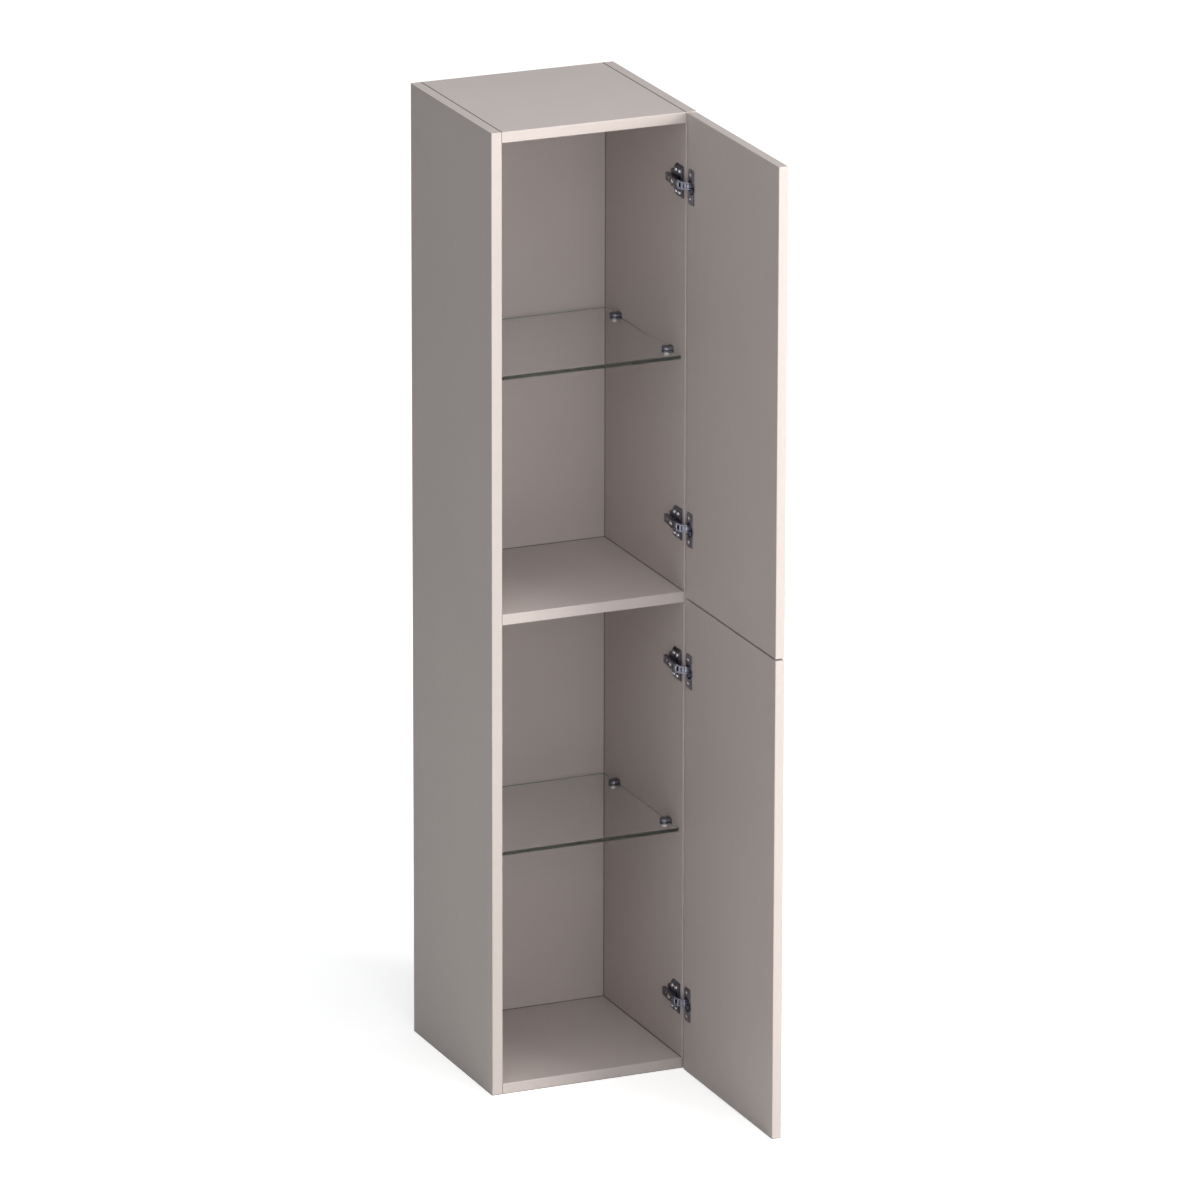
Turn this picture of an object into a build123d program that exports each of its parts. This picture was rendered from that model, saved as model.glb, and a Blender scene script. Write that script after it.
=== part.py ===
"""Tall column cabinet with two doors, two glass shelves and four concealed hinges.

Millimetres. The origin is the centre of the carcass underside. X runs to the right,
Y to the rear and Z up. Both doors are built open at a right angle to the front.
"""
from build123d import *
import math
import os

os.makedirs("parts", exist_ok=True)

# Carcass
cabinet_width = 350.0
carcass_depth = 332.0
cabinet_height = 1600.0
board_thickness = 18.0
edge_radius = 1.2
seam_bevel = 0.4
back_thickness = 6.0
back_recess = 7.0
groove_depth = 8.0
groove_clearance = 0.1

# Doors
door_thickness = 16.0
door_parting = 3.0
door_front_gap = 2.0
door_open_angle = 90.0

# Dowels
dowel_diameter = 8.0
dowel_length = 30.0
dowel_side_depth = 11.0
dowel_end_room = 1.0
dowel_clearance = 0.05
dowel_front_inset = 40.0
dowel_rear_inset = 55.0

# Glass shelves
glass_thickness = 6.0
glass_side_gap = 2.0
glass_front_inset = 11.0
glass_rear_gap = 6.0
glass_edge_bevel = 0.5
upper_glass_height = 1192.5
lower_glass_height = 401.5

# Clamps under the glass
clamp_diameter = 16.0
clamp_reach = 9.0
clamp_upper_jaw = 4.5
clamp_lower_jaw = 3.2
clamp_top_radius = 1.5
clamp_bottom_radius = 0.8
clamp_web = 1.6
clamp_glass_gap = 0.3
clamp_front_inset = 42.0
clamp_rear_inset = 52.0
pad_diameter = 8.0
pad_thickness = 0.6
clamp_pin_diameter = 5.0
clamp_pin_length = 10.0
clamp_screw_head = 9.0
clamp_screw_rise = 4.8
clamp_screw_shank = 4.0
small_clearance = 0.05

# Wall hangers
hanger_width = 19.0
hanger_length = 58.0
hanger_height = 62.0
hanger_wall = 2.2
hanger_corner = 3.0
hanger_peg_diameter = 10.0
hanger_peg_length = 9.0
hook_thickness = 2.0
hook_reach = 6.0
hook_drop = 16.0
hook_step = 1.0
hook_window_margin = 4.0
hook_window_room = 26.0
hanger_screw_diameter = 7.0
hanger_screw_length = 14.0

# Hinge positions
hinge_bottom_inset = 116.0
hinge_top_inset = 117.5

# Hinge plate on the side panel
plate_front = 8.0
plate_wing_length = 28.0
plate_wing_span = 53.0
plate_wing_top = 44.6
plate_tail_length = 12.5
plate_tail_width = 28.0
plate_thickness = 4.0
plate_screw_front = 15.5
plate_screw_pitch = 13.6
plate_screw_spread = 34.6
rib_half_width = 3.5
rib_front = 12.0
rib_length = 25.5
rib_gap = 0.6

# Hinge arm
arm_front = 6.0
arm_length = 51.6
arm_front_height = 13.5
arm_rear_height = 10.0
arm_half_width = 6.75
arm_sheet = 1.2
arm_corner = 0.8
arm_foot_gap = 0.4
window_start = 39.0
window_length = 8.5
window_width = 6.4
nose_inner = 3.9
nose_sheet = 1.0
nose_tail = 14.0
nose_eye = 2.2
nose_front = (-0.506, -0.863)

# Pivots of the hinge, from the inner face of the side panel (to the right)
# and from the front edge of the carcass (to the rear), with the door open
arm_outer_pivot = (-12.0, 3.0)
arm_inner_pivot = (-3.457, -2.013)
cup_outer_pivot = (5.71, -13.90)
inner_link_length = 17.9
inner_link_angle = -40.4
outer_link_share = -0.2025
inner_link_share = -0.0595
pin_radius = 1.0
follower_pin_radius = 0.9
pin_clearance = 0.05
orbit_clearance = 0.1

# Outer link
outer_sheet = 1.0
outer_half_width_arm = 6.8
outer_half_width_cup = 5.6
outer_eye_arm = 2.2
outer_eye_cup = 1.9
outer_notch_start = 9.6
outer_notch_half_width = 4.0
outer_block = (-5.0, 30.0)
outer_block_reach = 15.0

# Inner link
inner_half_width = 3.6
inner_half_width_cup = 3.2
inner_eye_arm = 2.0
inner_eye_cup = 1.6
inner_step_start = 7.0
inner_step_block = (30.0, 20.0)

# Cup
cup_radius = 13.0
cup_wall = 0.7
cup_depth = 12.2
cup_pivot_distance = 8.6
flange_thickness = 1.2
flange_width = 23.0
flange_height = 56.0
flange_bulge = 13.5
flange_corner = 4.0
flange_bevel_width = 4.0
flange_bevel_depth = 0.7
cup_screw_spread = 39.7
cup_screw_offset = 2.5
cup_screw_head = 6.2
cup_screw_head_rise = 0.3
cup_screw_seat = 0.8
cup_bore_clearance = 0.1
boss_inner = 6.1
boss_below_pivot = 4.6
boss_above_pivot = 2.6
orbit_depth = 6.95
follower_pin_half_length = 6.8
arm_pin_rise = 0.2
cup_pin_gap = 0.1
cup_pin_grip = 1.8

# Damper in the cup
damper_gap = 0.2
damper_width = 18.0
damper_near = 8.0
damper_low = 1.4
damper_high = 4.4
damper_slope_end = 7.0
damper_block = 2.0

# Screws
wood_screw_head = 6.6
wood_screw_head_rise = 1.4
wood_screw_shank = 3.4
wood_screw_length = 12.0
screw_hole_room = 1.0
adjuster_diameter = 8.0
adjuster_place = 26.0
adjuster_rise = 0.8
cam_place = 43.0
cam_head = 5.6
cam_head_height = 3.5
machine_shank = 3.6
machine_screw_end = 1.0

# Places that follow from the sizes above
right_x = cabinet_width / 2
inner_x = right_x - board_thickness
inner_width = 2 * inner_x
front_y = -carcass_depth / 2
rear_y = carcass_depth / 2
back_rear_y = rear_y - back_recess
back_front_y = back_rear_y - back_thickness
glass_depth = back_front_y - glass_rear_gap - front_y - glass_front_inset
back_height = cabinet_height - 2 * board_thickness + 2 * groove_depth
middle_z = (cabinet_height - board_thickness) / 2
top_z = cabinet_height - board_thickness
lower_door_top = (cabinet_height - door_parting) / 2
upper_door_bottom = lower_door_top + door_parting
lower_hinges = (hinge_bottom_inset, lower_door_top - hinge_top_inset)
upper_hinges = (upper_door_bottom + hinge_bottom_inset, cabinet_height - hinge_top_inset)
dowel_rows = (front_y + dowel_front_inset, 0.0, rear_y - dowel_rear_inset)
screw_hole = wood_screw_shank / 2 + small_clearance
cup_pin_start = outer_half_width_cup - outer_sheet - cup_pin_gap
cup_pin_end = outer_half_width_cup + cup_pin_grip


def save(builder, name):
    """Name a finished piece and write it out."""
    builder.part.label = name
    export_step(builder.part, "parts/" + name + ".step")


def side_plane(z):
    """Plane on the inner face of the right panel: first axis to the rear, second axis up."""
    return Plane(origin=(inner_x, front_y, z), x_dir=(0, 1, 0), z_dir=(1, 0, 0))


def level_plane(z):
    """Level plane at height z, with its origin at the inner front edge of the right panel."""
    return Plane(origin=(inner_x, front_y, z))


def turned(point, centre, degrees):
    """Point turned about a centre in the level plane."""
    angle = math.radians(degrees)
    dx = point[0] - centre[0]
    dy = point[1] - centre[1]
    return (
        centre[0] + dx * math.cos(angle) - dy * math.sin(angle),
        centre[1] + dx * math.sin(angle) + dy * math.cos(angle),
    )


def shifted(point, right, rear):
    """Point moved to the right and to the rear."""
    return (point[0] + right, point[1] + rear)


def disc(centre, radius, mode=Mode.ADD):
    """Circle at a place in the sketch."""
    with Locations(centre):
        Circle(radius, mode=mode)


def outline(points, mode=Mode.ADD):
    """Filled outline through the points."""
    Polygon(*points, align=None, mode=mode)


# The pin at the cup end of the inner link, with the door open
cup_inner_pivot = shifted(
    arm_inner_pivot,
    inner_link_length * math.cos(math.radians(inner_link_angle)),
    inner_link_length * math.sin(math.radians(inner_link_angle)),
)

# The corner of a door at its inner face and its hinge edge, closed and then open
closed_corner = (board_thickness, -door_front_gap)
open_corner = turned(
    turned(closed_corner, arm_outer_pivot, door_open_angle * outer_link_share),
    cup_outer_pivot,
    door_open_angle * (1 - outer_link_share),
)
door_inner_x = inner_x + open_corner[0]
door_end_y = front_y + open_corner[1]
cup_y = front_y + cup_outer_pivot[1] - cup_pivot_distance


def pin_orbit():
    """Places of the inner link's cup pin, seen from the door, over the travel of the door."""
    places = []
    for door_turn in (5, 0, -10, -20, -30, -40, -50, -60, -70, -80, -90):
        place = turned(cup_inner_pivot, arm_inner_pivot, inner_link_share * door_turn)
        place = turned(place, arm_outer_pivot, -outer_link_share * door_turn)
        places.append(turned(place, cup_outer_pivot, -(1 - outer_link_share) * door_turn))
    return places


def seam(edge_x, height):
    """Small bevel along the joint of a side and a cross board, cut over the full depth."""
    with BuildSketch(Plane.XZ.offset(-rear_y)) as groove:
        with Locations((edge_x, height)):
            Rectangle(seam_bevel * math.sqrt(2), seam_bevel * math.sqrt(2), rotation=45)
    extrude(groove.sketch, amount=carcass_depth, mode=Mode.SUBTRACT)


def side_panel(side):
    """Full-height side. Side is -1 for the left one and 1 for the right one."""
    outer_x = side * right_x
    face_x = side * inner_x
    face = Plane(origin=(face_x, 0, 0), x_dir=(0, 1, 0), z_dir=(1, 0, 0))
    with BuildPart() as panel:
        with BuildSketch(Plane.XY):
            with Locations(((outer_x + face_x) / 2, 0)):
                Rectangle(board_thickness, carcass_depth)
        extrude(amount=cabinet_height)
        fillet(panel.faces().sort_by(Axis.Y)[0].edges(), edge_radius)
        outer_face = panel.faces().filter_by(Axis.X).sort_by(SortBy.AREA)[-2:].sort_by(Axis.X)
        fillet(outer_face[0 if side < 0 else -1].edges().group_by(Axis.Y)[-1], edge_radius)
        seam(face_x, 0)
        seam(face_x, cabinet_height)
        with BuildSketch(Plane.XY.offset(board_thickness - groove_depth - groove_clearance)):
            with Locations((face_x, (back_front_y + back_rear_y) / 2)):
                Rectangle(2 * groove_depth + 2 * groove_clearance, back_thickness + 2 * groove_clearance)
        extrude(amount=back_height + 2 * groove_clearance, mode=Mode.SUBTRACT)
        with BuildSketch(face):
            for board_z in (0, middle_z, top_z):
                for row in dowel_rows:
                    disc((row, board_z + board_thickness / 2), dowel_diameter / 2 + dowel_clearance)
        extrude(amount=side * (dowel_side_depth + dowel_end_room), mode=Mode.SUBTRACT)
        with BuildSketch(face):
            for pin in clamp_centres():
                disc(pin, clamp_pin_diameter / 2 + small_clearance)
        extrude(amount=side * (clamp_pin_length + small_clearance), mode=Mode.SUBTRACT)
        with BuildSketch(face):
            for peg in hanger_pegs():
                disc(peg, hanger_peg_diameter / 2 + small_clearance)
        extrude(amount=side * (hanger_peg_length + small_clearance), mode=Mode.SUBTRACT)
        if side > 0:
            with BuildSketch(face):
                for z in lower_hinges + upper_hinges:
                    for spot in plate_screws(z):
                        disc((spot[0] + front_y, spot[1]), screw_hole)
            extrude(amount=wood_screw_length - plate_thickness + screw_hole_room, mode=Mode.SUBTRACT)
    return panel


def clamp_centres():
    """Pin places of all the clamps, as rearward place and height."""
    rows = (front_y + glass_front_inset + clamp_front_inset,
            front_y + glass_front_inset + glass_depth - clamp_rear_inset)
    return [(row, z + glass_thickness / 2) for z in (lower_glass_height, upper_glass_height) for row in rows]


def hanger_pegs():
    """Peg places of a wall hanger, as rearward place and height."""
    middle = back_front_y - hanger_length / 2
    return [(middle, top_z - hanger_height / 4), (middle, top_z - 3 * hanger_height / 4)]


def plate_screws(z):
    """Screw places of one hinge plate, from the front edge and up."""
    return [
        (plate_screw_front + step * plate_screw_pitch, z + half * plate_screw_spread / 2)
        for step in (0, 1)
        for half in (-1, 1)
    ]


def cross_board(bottom_z, end_y, groove_side):
    """Board between the sides. Groove side is 1 for a groove above, -1 for one below, 0 for none."""
    with BuildPart() as board:
        with BuildSketch(Plane.XY.offset(bottom_z)):
            with Locations((0, (front_y + end_y) / 2)):
                Rectangle(inner_width, end_y - front_y)
        extrude(amount=board_thickness)
        fillet(board.edges().filter_by(Axis.X).group_by(Axis.Y)[0], edge_radius)
        if groove_side != 0:
            groove_z = bottom_z + (board_thickness if groove_side > 0 else 0)
            with BuildSketch(Plane.XY.offset(groove_z)):
                with Locations((0, (back_front_y + back_rear_y) / 2)):
                    Rectangle(inner_width, back_thickness + 2 * groove_clearance)
            extrude(amount=-groove_side * (groove_depth + groove_clearance), mode=Mode.SUBTRACT)
            outer_z = bottom_z + (board_thickness if groove_side < 0 else 0)
            seam(-inner_x, outer_z)
            seam(inner_x, outer_z)
        for side in (-1, 1):
            with BuildSketch(Plane(origin=(side * inner_x, 0, 0), x_dir=(0, 1, 0), z_dir=(1, 0, 0))):
                for row in dowel_rows:
                    disc((row, bottom_z + board_thickness / 2), dowel_diameter / 2 + dowel_clearance)
            extrude(amount=-side * (dowel_length - dowel_side_depth + dowel_end_room), mode=Mode.SUBTRACT)
    return board


def door(bottom_z, hinges):
    """Door with the bores for its two cups, standing open."""
    with BuildPart() as leaf:
        with BuildSketch(Plane.XY.offset(bottom_z)):
            with Locations((door_inner_x + door_thickness / 2, door_end_y - cabinet_width / 2)):
                Rectangle(door_thickness, cabinet_width)
        extrude(amount=lower_door_top)
        fillet(leaf.edges(), edge_radius)
        with BuildSketch(Plane(origin=(door_inner_x, cup_y, 0), x_dir=(0, 1, 0), z_dir=(1, 0, 0))):
            for z in hinges:
                disc((0, z), cup_radius + cup_bore_clearance)
        extrude(amount=cup_depth + cup_wall + cup_bore_clearance, mode=Mode.SUBTRACT)
        with BuildSketch(Plane(origin=(door_inner_x, cup_y, 0), x_dir=(0, 1, 0), z_dir=(1, 0, 0))):
            for z in hinges:
                for half in (-1, 1):
                    disc((cup_screw_offset, z + half * cup_screw_spread / 2), screw_hole)
        extrude(amount=wood_screw_length - flange_thickness + screw_hole_room, mode=Mode.SUBTRACT)
    return leaf


# Carcass boards
save(side_panel(-1), "left_side_panel")
save(side_panel(1), "right_side_panel")
save(cross_board(top_z, rear_y, -1), "top_panel")
save(cross_board(0, rear_y, 1), "bottom_panel")
save(cross_board(middle_z, back_front_y, 0), "middle_shelf")
save(door(0, lower_hinges), "lower_door")
save(door(upper_door_bottom, upper_hinges), "upper_door")

hook_window_width = hook_thickness + 2 * hook_window_margin
hook_window_height = hook_drop + hook_window_room
hook_x = inner_x - hanger_width / 2
hook_z = top_z - hanger_height / 2

with BuildPart() as back_panel:
    with BuildSketch(Plane.XZ.offset(-back_rear_y)):
        with Locations((0, cabinet_height / 2)):
            Rectangle(inner_width + 2 * groove_depth, back_height)
        with Locations((-hook_x, hook_z), (hook_x, hook_z)):
            Rectangle(hook_window_width, hook_window_height, mode=Mode.SUBTRACT)
    extrude(amount=back_thickness)
save(back_panel, "back_panel")

with BuildPart() as carcass_dowels:
    for side in (-1, 1):
        start_x = side * (inner_x + dowel_side_depth)
        with BuildSketch(Plane(origin=(start_x, 0, 0), x_dir=(0, 1, 0), z_dir=(1, 0, 0))):
            for board_z in (0, middle_z, top_z):
                for row in dowel_rows:
                    disc((row, board_z + board_thickness / 2), dowel_diameter / 2)
        extrude(amount=-side * dowel_length)
save(carcass_dowels, "carcass_dowels")


# Glass shelves and their clamps
def glass_shelf(z):
    """Glass plate lying on the pads of its four clamps."""
    with BuildPart() as glass:
        with BuildSketch(Plane.XY.offset(z)):
            with Locations((0, front_y + glass_front_inset + glass_depth / 2)):
                Rectangle(inner_width - 2 * glass_side_gap, glass_depth)
        extrude(amount=glass_thickness)
        chamfer(glass.edges(), glass_edge_bevel)
    return glass


def clamp_rows(z):
    """The four clamps of one shelf, as side and rearward place."""
    rows = [row for row, pin_z in clamp_centres() if pin_z == z + glass_thickness / 2]
    return [(side, row) for side in (-1, 1) for row in rows]


def shelf_clamps(z):
    """Four round clamps with an open slot for the glass and a pin into the side panel."""
    slot_bottom = z - pad_thickness
    slot_top = z + glass_thickness + clamp_glass_gap
    with BuildPart() as clamps:
        with BuildSketch(Plane.XY.offset(z - clamp_lower_jaw)):
            for side, row in clamp_rows(z):
                centre_x = side * (inner_x - clamp_reach)
                disc((centre_x, row), clamp_diameter / 2)
                with Locations(((centre_x + side * inner_x) / 2, row)):
                    Rectangle(clamp_reach, clamp_diameter)
        extrude(amount=clamp_lower_jaw + slot_top - z + clamp_upper_jaw)
        off_wall = clamps.edges().filter_by(lambda edge: abs(abs(edge.center().X) - inner_x) > 0.1)
        fillet(off_wall.group_by(Axis.Z)[-1], clamp_top_radius)
        off_wall = clamps.edges().filter_by(lambda edge: abs(abs(edge.center().X) - inner_x) > 0.1)
        fillet(off_wall.group_by(Axis.Z)[0], clamp_bottom_radius)
        for side, row in clamp_rows(z):
            centre_x = side * (inner_x - clamp_reach)
            with BuildSketch(Plane.XY.offset(slot_bottom)):
                with Locations((side * (inner_x - clamp_web - clamp_reach - clamp_diameter / 2), row)):
                    Rectangle(2 * clamp_reach + clamp_diameter, clamp_diameter + 2)
            extrude(amount=slot_top - slot_bottom, mode=Mode.SUBTRACT)
            with BuildSketch(Plane.XY.offset(z - clamp_lower_jaw)):
                disc((centre_x, row), clamp_screw_shank / 2 + small_clearance)
            extrude(amount=clamp_lower_jaw, mode=Mode.SUBTRACT)
            pin_plane = Plane(
                origin=(side * inner_x, row, z + glass_thickness / 2), x_dir=(0, 1, 0), z_dir=(1, 0, 0)
            )
            with BuildSketch(pin_plane):
                Circle(clamp_pin_diameter / 2)
            extrude(amount=side * clamp_pin_length)
    return clamps


def shelf_pads(z):
    """Four soft discs between the lower jaws and the glass."""
    with BuildPart() as pads:
        with BuildSketch(Plane.XY.offset(z - pad_thickness)):
            for side, row in clamp_rows(z):
                disc((side * (inner_x - clamp_reach), row), pad_diameter / 2)
        extrude(amount=pad_thickness)
    return pads


def shelf_screws(z):
    """Four clamping screws with a wide round head under the lower jaws."""
    jaw_bottom = z - clamp_lower_jaw
    with BuildPart() as screws:
        with BuildSketch(Plane.XY.offset(jaw_bottom - clamp_screw_rise)):
            for side, row in clamp_rows(z):
                disc((side * (inner_x - clamp_reach), row), clamp_screw_head / 2)
        extrude(amount=clamp_screw_rise)
        with BuildSketch(Plane.XY.offset(jaw_bottom)):
            for side, row in clamp_rows(z):
                disc((side * (inner_x - clamp_reach), row), clamp_screw_shank / 2)
        extrude(amount=clamp_lower_jaw - pad_thickness)
        fillet(screws.edges().group_by(Axis.Z)[0], clamp_bottom_radius)
    return screws


for shelf_name, shelf_z in (("upper", upper_glass_height), ("lower", lower_glass_height)):
    save(glass_shelf(shelf_z), shelf_name + "_glass_shelf")
    save(shelf_clamps(shelf_z), shelf_name + "_shelf_clamps")
    save(shelf_pads(shelf_z), shelf_name + "_shelf_pads")
    save(shelf_screws(shelf_z), shelf_name + "_shelf_screws")


# Wall hangers in the upper rear corners
hanger_front_y = back_front_y - hanger_length
screw_heights = (hook_z + hanger_height / 4, hook_z - hanger_height / 4)


def wall_hanger(side):
    """Hollow housing open towards the rear, with two pegs into the side panel."""
    with BuildPart() as housing:
        with BuildSketch(Plane.XY.offset(top_z - hanger_height)):
            with Locations((side * hook_x, back_front_y - hanger_length / 2)):
                Rectangle(hanger_width, hanger_length)
        extrude(amount=hanger_height)
        fillet(housing.edges().filter_by(Axis.Z).group_by(Axis.Y)[0], hanger_corner)
        with BuildSketch(Plane.XZ.offset(-back_front_y)):
            with Locations((side * hook_x, hook_z)):
                Rectangle(hanger_width - 2 * hanger_wall, hanger_height - 2 * hanger_wall)
        extrude(amount=hanger_length - hanger_wall, mode=Mode.SUBTRACT)
        with BuildSketch(Plane.XZ.offset(-hanger_front_y)):
            with Locations(*[(side * hook_x, z) for z in screw_heights]):
                Circle(hanger_screw_diameter / 2 + small_clearance)
        extrude(amount=-hanger_wall, mode=Mode.SUBTRACT)
        with BuildSketch(Plane(origin=(side * inner_x, 0, 0), x_dir=(0, 1, 0), z_dir=(1, 0, 0))):
            for peg in hanger_pegs():
                disc(peg, hanger_peg_diameter / 2)
        extrude(amount=side * hanger_peg_length)
    return housing


def hanger_hook(side):
    """Steel plate that reaches through the back panel and turns down behind it."""
    hook_top = hook_z + hook_window_height / 2 - hook_window_margin
    hook_end_y = back_rear_y + hook_reach
    plate_start = hanger_front_y + hanger_screw_length
    plate_low = hook_z - hanger_height / 4 - hanger_screw_diameter / 2
    plate_high = hook_z + hanger_height / 4 + hanger_screw_diameter / 2
    with BuildPart() as hook:
        with BuildSketch(Plane.YZ.offset(side * hook_x)):
            outline([
                (plate_start, plate_low),
                (back_front_y - hook_step, plate_low),
                (back_front_y - hook_step, hook_top - hook_drop / 2),
                (hook_end_y - hook_reach / 2, hook_top - hook_drop / 2),
                (hook_end_y - hook_reach / 2, hook_top - hook_drop),
                (hook_end_y, hook_top - hook_drop),
                (hook_end_y, hook_top),
                (back_front_y - hook_step, hook_top),
                (back_front_y - hook_step, plate_high),
                (plate_start, plate_high),
            ])
        extrude(amount=hook_thickness / 2, both=True)
    return hook


save(wall_hanger(-1), "left_wall_hanger")
save(wall_hanger(1), "right_wall_hanger")
save(hanger_hook(-1), "left_hanger_hook")
save(hanger_hook(1), "right_hanger_hook")

with BuildPart() as hanger_adjusting_screws:
    with BuildSketch(Plane.XZ.offset(-hanger_front_y)):
        with Locations(*[(side * hook_x, z) for side in (-1, 1) for z in screw_heights]):
            Circle(hanger_screw_diameter / 2)
    extrude(amount=-hanger_screw_length)
save(hanger_adjusting_screws, "hanger_adjusting_screws")


# Hinges
def arm_height(rearward):
    """Height of the arm's outer face above the panel at a distance behind the front edge."""
    return arm_front_height - (rearward - arm_front) * (arm_front_height - arm_rear_height) / arm_length


def hinge_plate(z):
    """Cross-shaped plate on the side panel with a rib that fits inside the arm."""
    rib_end = rib_front + rib_length
    with BuildPart() as plate:
        with BuildSketch(Plane.XZ.offset(-front_y - plate_front)):
            outline([
                (inner_x, z - plate_wing_span / 2),
                (inner_x - plate_thickness, z - plate_wing_top / 2),
                (inner_x - plate_thickness, z + plate_wing_top / 2),
                (inner_x, z + plate_wing_span / 2),
            ])
        extrude(amount=-plate_wing_length)
        with BuildSketch(side_plane(z)):
            with Locations((plate_front + plate_wing_length + plate_tail_length / 2 - 0.5, 0)):
                Rectangle(plate_tail_length + 1, plate_tail_width)
        extrude(amount=-plate_thickness)
        with BuildSketch(level_plane(z)):
            outline([
                (0, plate_front + plate_wing_length),
                (-plate_thickness / 2, rib_front),
                (arm_sheet + rib_gap - arm_height(rib_front), rib_front),
                (arm_sheet + rib_gap - arm_height(rib_end), rib_end),
                (0, rib_end),
            ])
        extrude(amount=rib_half_width, both=True)
        with BuildSketch(side_plane(z)):
            for spot in plate_screws(0):
                disc(spot, screw_hole)
            disc((adjuster_place, 0), machine_shank / 2 + small_clearance)
            disc((cam_place, 0), machine_shank / 2 + small_clearance)
        extrude(amount=-arm_front_height, mode=Mode.SUBTRACT)
    return plate


def hinge_arm(z):
    """Folded channel over the plate, with a window at its rear and two cheeks at its nose."""
    rear = arm_front + arm_length
    top = [(-arm_height(arm_front), arm_front), (-arm_height(rear), rear)]
    with BuildPart() as channel:
        with BuildSketch(level_plane(z)):
            outline([
                top[0],
                top[1],
                (-plate_thickness - arm_foot_gap, rear),
                (-plate_thickness - arm_foot_gap, arm_front + arm_length / 3),
                (-arm_height(arm_front) / 2, arm_front),
            ])
        extrude(amount=arm_half_width, both=True)
        outer_face = channel.faces().filter_by(lambda face: face.normal_at().X < -0.9).sort_by(Axis.X)[0]
        fillet(outer_face.edges(), arm_corner)
        with BuildSketch(level_plane(z)):
            outline([
                shifted(top[0], arm_sheet, -1),
                shifted(top[1], arm_sheet, 1),
                (0, rear + 1),
                (0, arm_front - 1),
            ])
        extrude(amount=arm_half_width - arm_sheet, both=True, mode=Mode.SUBTRACT)
    with BuildPart() as arm:
        low = shifted(arm_outer_pivot, nose_front[0] * nose_eye, nose_front[1] * nose_eye)
        with BuildSketch(level_plane(z + nose_inner)):
            nose_profile(low)
        extrude(amount=nose_sheet)
        with BuildSketch(level_plane(z - nose_inner)):
            nose_profile(low)
        extrude(amount=-nose_sheet)
        add(channel.part)
        with BuildSketch(side_plane(z)):
            disc((adjuster_place, 0), adjuster_diameter / 2 + small_clearance)
            with Locations((window_start + window_length / 2, 0)):
                Rectangle(window_length, window_width)
        extrude(amount=-2 * arm_front_height, mode=Mode.SUBTRACT)
    return arm


def nose_profile(low):
    """One cheek of the arm's nose: an eye at each pivot and a tail under the channel."""
    tail = arm_front + nose_tail
    disc(arm_outer_pivot, nose_eye)
    disc(arm_inner_pivot, nose_eye)
    outline([
        low,
        (arm_inner_pivot[0] - 6.2, -0.3),
        shifted(arm_inner_pivot, nose_front[0] * nose_eye, nose_front[1] * nose_eye),
        shifted(arm_inner_pivot, nose_eye, 0),
        (-plate_thickness - arm_foot_gap, plate_front - 0.6),
        (-plate_thickness - arm_foot_gap, tail),
        (arm_sheet / 2 - arm_height(tail), tail),
        (arm_sheet / 2 - arm_height(arm_front), arm_front),
        shifted(arm_outer_pivot, -1.6, 1.5),
    ])
    disc(arm_outer_pivot, pin_radius + pin_clearance, Mode.SUBTRACT)
    disc(arm_inner_pivot, pin_radius + pin_clearance, Mode.SUBTRACT)


def link_width(along, inset):
    """Half width of the outer link at a distance from its arm pivot."""
    length = math.dist(arm_outer_pivot, cup_outer_pivot)
    taper = (outer_half_width_arm - outer_half_width_cup) * along / length
    return outer_half_width_arm - taper - inset


def link_plane(z):
    """Plane through both pivots of the outer link: first axis along the link, second axis up."""
    length = math.dist(arm_outer_pivot, cup_outer_pivot)
    along = (
        (cup_outer_pivot[0] - arm_outer_pivot[0]) / length,
        (cup_outer_pivot[1] - arm_outer_pivot[1]) / length,
        0,
    )
    origin = (inner_x + arm_outer_pivot[0], front_y + arm_outer_pivot[1], z)
    return Plane(origin=origin, x_dir=along, z_dir=(along[1], -along[0], 0))


def link_wedge(z, inset, mode):
    """Cut or keep the tapered block between the outer faces of the link's cheeks."""
    start, end = outer_block
    with BuildSketch(link_plane(z)) as wedge:
        outline([
            (start, link_width(start, inset)),
            (end, link_width(end, inset)),
            (end, -link_width(end, inset)),
            (start, -link_width(start, inset)),
        ])
    extrude(wedge.sketch, amount=outer_block_reach, both=True, mode=mode)


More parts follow.
